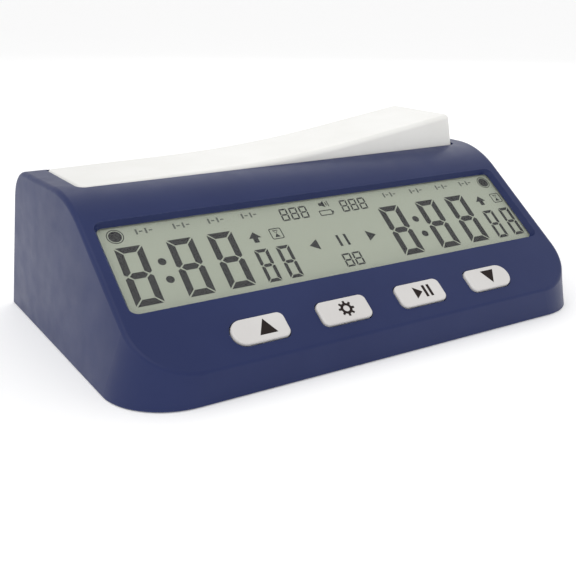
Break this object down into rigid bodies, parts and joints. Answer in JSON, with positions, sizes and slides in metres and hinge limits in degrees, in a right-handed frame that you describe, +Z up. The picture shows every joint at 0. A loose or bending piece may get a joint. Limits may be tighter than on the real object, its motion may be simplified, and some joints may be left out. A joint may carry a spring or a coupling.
{
  "type": "digital chess clock",
  "caption": "Table-top digital chess clock: wedge housing with a recessed sloping display, a row of keys and a tilting rocker bar along the top that the players press in turn.",
  "frame": {"origin": "centre of the footprint, on the table under the feet", "axes": "+X towards the players' right along the rocker, +Y away from the display, +Z up"},
  "size_m": [0.1542, 0.0992, 0.0544],
  "materials": {
    "navy_plastic": "satin moulded",
    "white_plastic": "satin moulded",
    "key_plastic": "satin moulded",
    "clear_acrylic": "polished",
    "lcd_glass": "matt polariser",
    "reflector_foil": "brushed",
    "black_plastic": "moulded",
    "grey_rubber": "matt",
    "black_rubber": "matt",
    "board": "solder mask",
    "chip_resin": "matt",
    "tin_steel": "plated",
    "spring_steel": "nickel plated",
    "cell_jacket": "printed film",
    "natural_plastic": "moulded"
  },
  "bodies": {
    "housing": {"upper_housing": "navy_plastic", "base_cover": "navy_plastic", "base_screws": "tin_steel", "rubber_feet": "black_rubber", "display_window": "clear_acrylic", "lcd_glass": "lcd_glass", "lcd_reflector": "reflector_foil", "lcd_frame": "black_plastic", "contact_strip": "grey_rubber", "main_board": "board", "controller_chip": "chip_resin", "quartz_crystal": "tin_steel", "board_screws": "tin_steel", "buzzer": "black_plastic", "key_switches": "black_plastic", "rocker_pivot_pin": "tin_steel", "rocker_cradle": "natural_plastic", "cradle_screws": "tin_steel", "switch_board": "board", "left_switch": "black_plastic", "right_switch": "black_plastic", "rocker_bumpers": "grey_rubber", "battery_cell": "cell_jacket", "positive_contact": "spring_steel", "negative_contact": "spring_steel", "power_switch": "black_plastic"},
    "rocker": {"rocker": "white_plastic"},
    "left_plunger": {"left_plunger": "natural_plastic"},
    "right_plunger": {"right_plunger": "natural_plastic"},
    "battery_door": {"battery_door": "navy_plastic"},
    "power_slider": {"power_slider": "black_plastic"},
    "up_button": {"up_button": "key_plastic", "up_key_stem": "natural_plastic"},
    "settings_button": {"settings_button": "key_plastic", "settings_key_stem": "natural_plastic"},
    "pause_button": {"pause_button": "key_plastic", "pause_key_stem": "natural_plastic"},
    "down_button": {"down_button": "key_plastic", "down_key_stem": "natural_plastic"}
  },
  "joints": [
    {"name": "rocker_tilt", "type": "hinge", "parent": "housing", "child": "rocker", "pos_m": [0, 0.0205, 0.034], "axis": [0, 1, 0], "range_deg": [0, 9.1]},
    {"name": "left_plunger_slide", "type": "slide", "parent": "housing", "child": "left_plunger", "axis": [0, 0, 1], "range_m": [0, 0.00145]},
    {"name": "right_plunger_slide", "type": "slide", "parent": "housing", "child": "right_plunger", "axis": [0, 0, 1], "range_m": [-0.00145, 0]},
    {"name": "battery_door_release", "type": "slide", "parent": "housing", "child": "battery_door", "axis": [0, 0, -1], "range_m": [0, 0.02]},
    {"name": "power_slide", "type": "slide", "parent": "housing", "child": "power_slider", "axis": [1, 0, 0], "range_m": [0, 0.004]},
    {"name": "up_press", "type": "slide", "parent": "housing", "child": "up_button", "axis": [0, 0.592, -0.8059], "range_m": [0, 0.0008], "stiffness_N_per_m": 400, "springref_m": -0.0006},
    {"name": "settings_press", "type": "slide", "parent": "housing", "child": "settings_button", "axis": [0, 0.592, -0.8059], "range_m": [0, 0.0008], "stiffness_N_per_m": 400, "springref_m": -0.0006},
    {"name": "pause_press", "type": "slide", "parent": "housing", "child": "pause_button", "axis": [0, 0.592, -0.8059], "range_m": [0, 0.0008], "stiffness_N_per_m": 400, "springref_m": -0.0006},
    {"name": "down_press", "type": "slide", "parent": "housing", "child": "down_button", "axis": [0, 0.592, -0.8059], "range_m": [0, 0.0008], "stiffness_N_per_m": 400, "springref_m": -0.0006}
  ],
  "couplings": [
    {"joint": "left_plunger_slide", "follows": "rocker_tilt", "m_per_rad": 0.009},
    {"joint": "right_plunger_slide", "follows": "rocker_tilt", "m_per_rad": -0.009}
  ]
}
